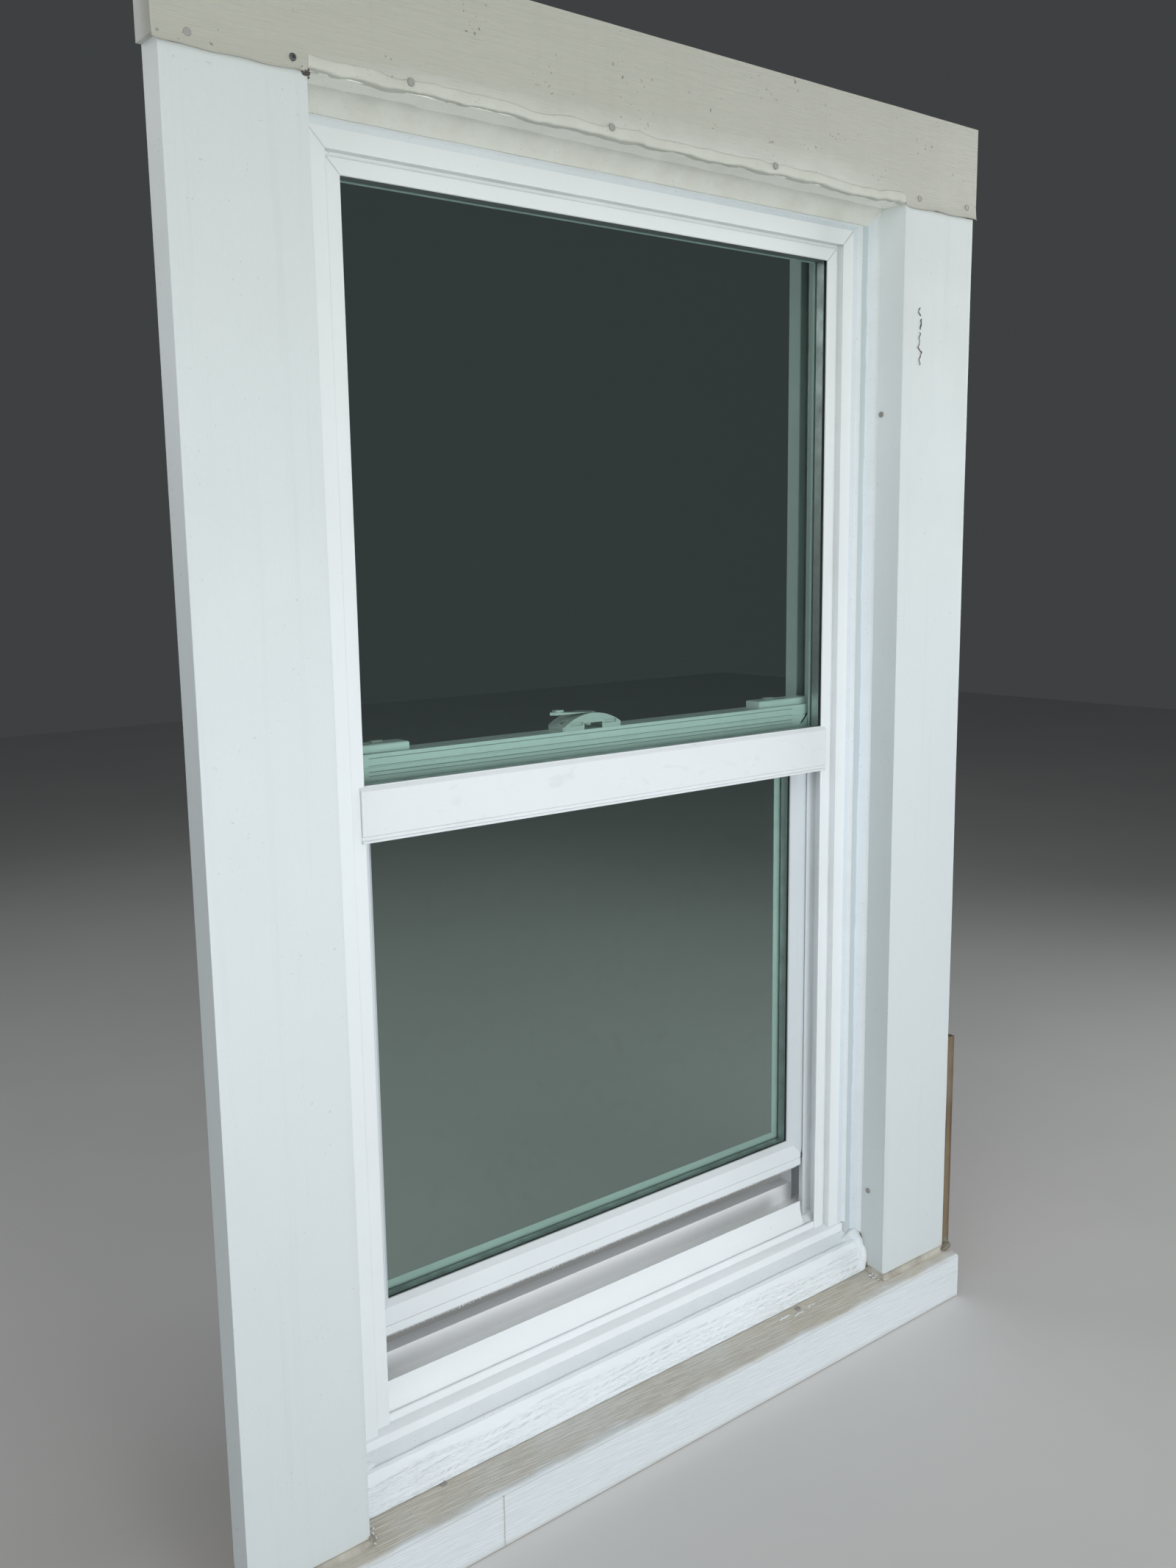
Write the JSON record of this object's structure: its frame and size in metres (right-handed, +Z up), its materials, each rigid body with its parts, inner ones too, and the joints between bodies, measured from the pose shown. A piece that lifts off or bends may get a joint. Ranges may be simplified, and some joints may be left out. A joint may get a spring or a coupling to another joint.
{
  "type": "sash window",
  "caption": "Single-hung sash window with a fixed upper light, a sliding tilt-in lower sash with cam lock, and metal-clad outer casings and sill.",
  "frame": {"origin": "middle of the flat underside of the wooden sill, on the plane of the side casings' face", "axes": "+X to the right seen from outside, +Y into the room, +Z up"},
  "size_m": [1.021, 0.1635, 1.4625],
  "materials": {
    "vinyl": "smooth extruded vinyl, slightly weathered",
    "glass": "clear sealed glass, faint green edge",
    "spacer": "mill finish",
    "block_rubber": "matt",
    "pile": "woven pile",
    "nylon": "moulded",
    "tube_metal": "drawn tube",
    "steel": "zinc plated",
    "lock_paint": "white enamel",
    "cladding_side": "embossed with a fine upright grain, weathered white enamel",
    "cladding_top": "embossed with a fine level grain, weathered white enamel",
    "cladding_base": "embossed wood grain, dusty white enamel",
    "sealant": "smooth bead, dusty",
    "old_sealant": "cracked and dirty",
    "old_wood": "old softwood",
    "bare_wood": "bare and weathered",
    "shim_plastic": "moulded"
  },
  "bodies": {
    "frame": {"frame_jamb_left": "vinyl", "frame_jamb_right": "vinyl", "frame_head": "vinyl", "frame_sill": "vinyl", "meeting_rail": "vinyl", "glazing_bead_left": "vinyl", "glazing_bead_right": "vinyl", "glazing_bead_head": "vinyl", "upper_pane_outer": "glass", "upper_pane_inner": "glass", "upper_spacer": "spacer", "upper_setting_blocks": "block_rubber", "frame_pile": "pile", "balance_tube_left": "tube_metal", "balance_tube_right": "tube_metal", "keeper": "lock_paint", "cladding_left": "cladding_side", "cladding_right": "cladding_side", "cladding_head": "cladding_top", "cladding_sill": "cladding_base", "sealant_left": "sealant", "sealant_right": "sealant", "sealant_head": "sealant", "sealant_sill": "sealant", "foot_sealant_left": "old_sealant", "foot_sealant_right": "old_sealant", "jamb_board_left": "old_wood", "jamb_board_right": "old_wood", "head_board": "old_wood", "casing_board_left": "old_wood", "casing_board_right": "old_wood", "casing_board_head": "old_wood", "blind_stop_left": "old_wood", "blind_stop_right": "old_wood", "blind_stop_head": "old_wood", "sill_board": "old_wood", "sill_filler_block": "old_wood", "bare_strip": "bare_wood", "shims": "shim_plastic"},
    "carriage": {"balance_shoe_left": "nylon", "balance_shoe_right": "nylon", "balance_rod_left": "steel", "balance_rod_right": "steel"},
    "sash": {"sash_stile_left": "vinyl", "sash_stile_right": "vinyl", "sash_bottom_rail": "vinyl", "sash_top_rail": "vinyl", "sash_bead_left": "vinyl", "sash_bead_right": "vinyl", "sash_bead_top": "vinyl", "sash_bead_bottom": "vinyl", "lower_pane_outer": "glass", "lower_pane_inner": "glass", "lower_spacer": "spacer", "lower_setting_blocks": "block_rubber", "sash_pile": "pile", "pivot_bar_left": "steel", "pivot_bar_right": "steel", "balance_cam_left": "nylon", "balance_cam_right": "nylon", "tilt_latch_left": "vinyl", "tilt_latch_right": "vinyl", "lock_housing": "lock_paint"},
    "latch_left": {"latch_bolt_left": "nylon"},
    "latch_right": {"latch_bolt_right": "nylon"},
    "lever": {"lock_lever": "lock_paint"}
  },
  "joints": [
    {"name": "sash_slide", "type": "slide", "parent": "frame", "child": "carriage", "axis": [0, 0, 1], "range_m": [-0.059, 0.464]},
    {"name": "sash_tilt", "type": "hinge", "parent": "carriage", "child": "sash", "pos_m": [0, 0.111, 0.23], "axis": [-1, 0, 0], "range_deg": [0, 90]},
    {"name": "tilt_latch_left", "type": "slide", "parent": "sash", "child": "latch_left", "axis": [-1, 0, 0], "range_m": [0, 0.009]},
    {"name": "tilt_latch_right", "type": "slide", "parent": "sash", "child": "latch_right", "axis": [1, 0, 0], "range_m": [0, 0.009]},
    {"name": "lock_lever", "type": "hinge", "parent": "sash", "child": "lever", "pos_m": [-0.017, 0.099, 0.8], "axis": [0, 0, -1], "range_deg": [0, 170]}
  ]
}
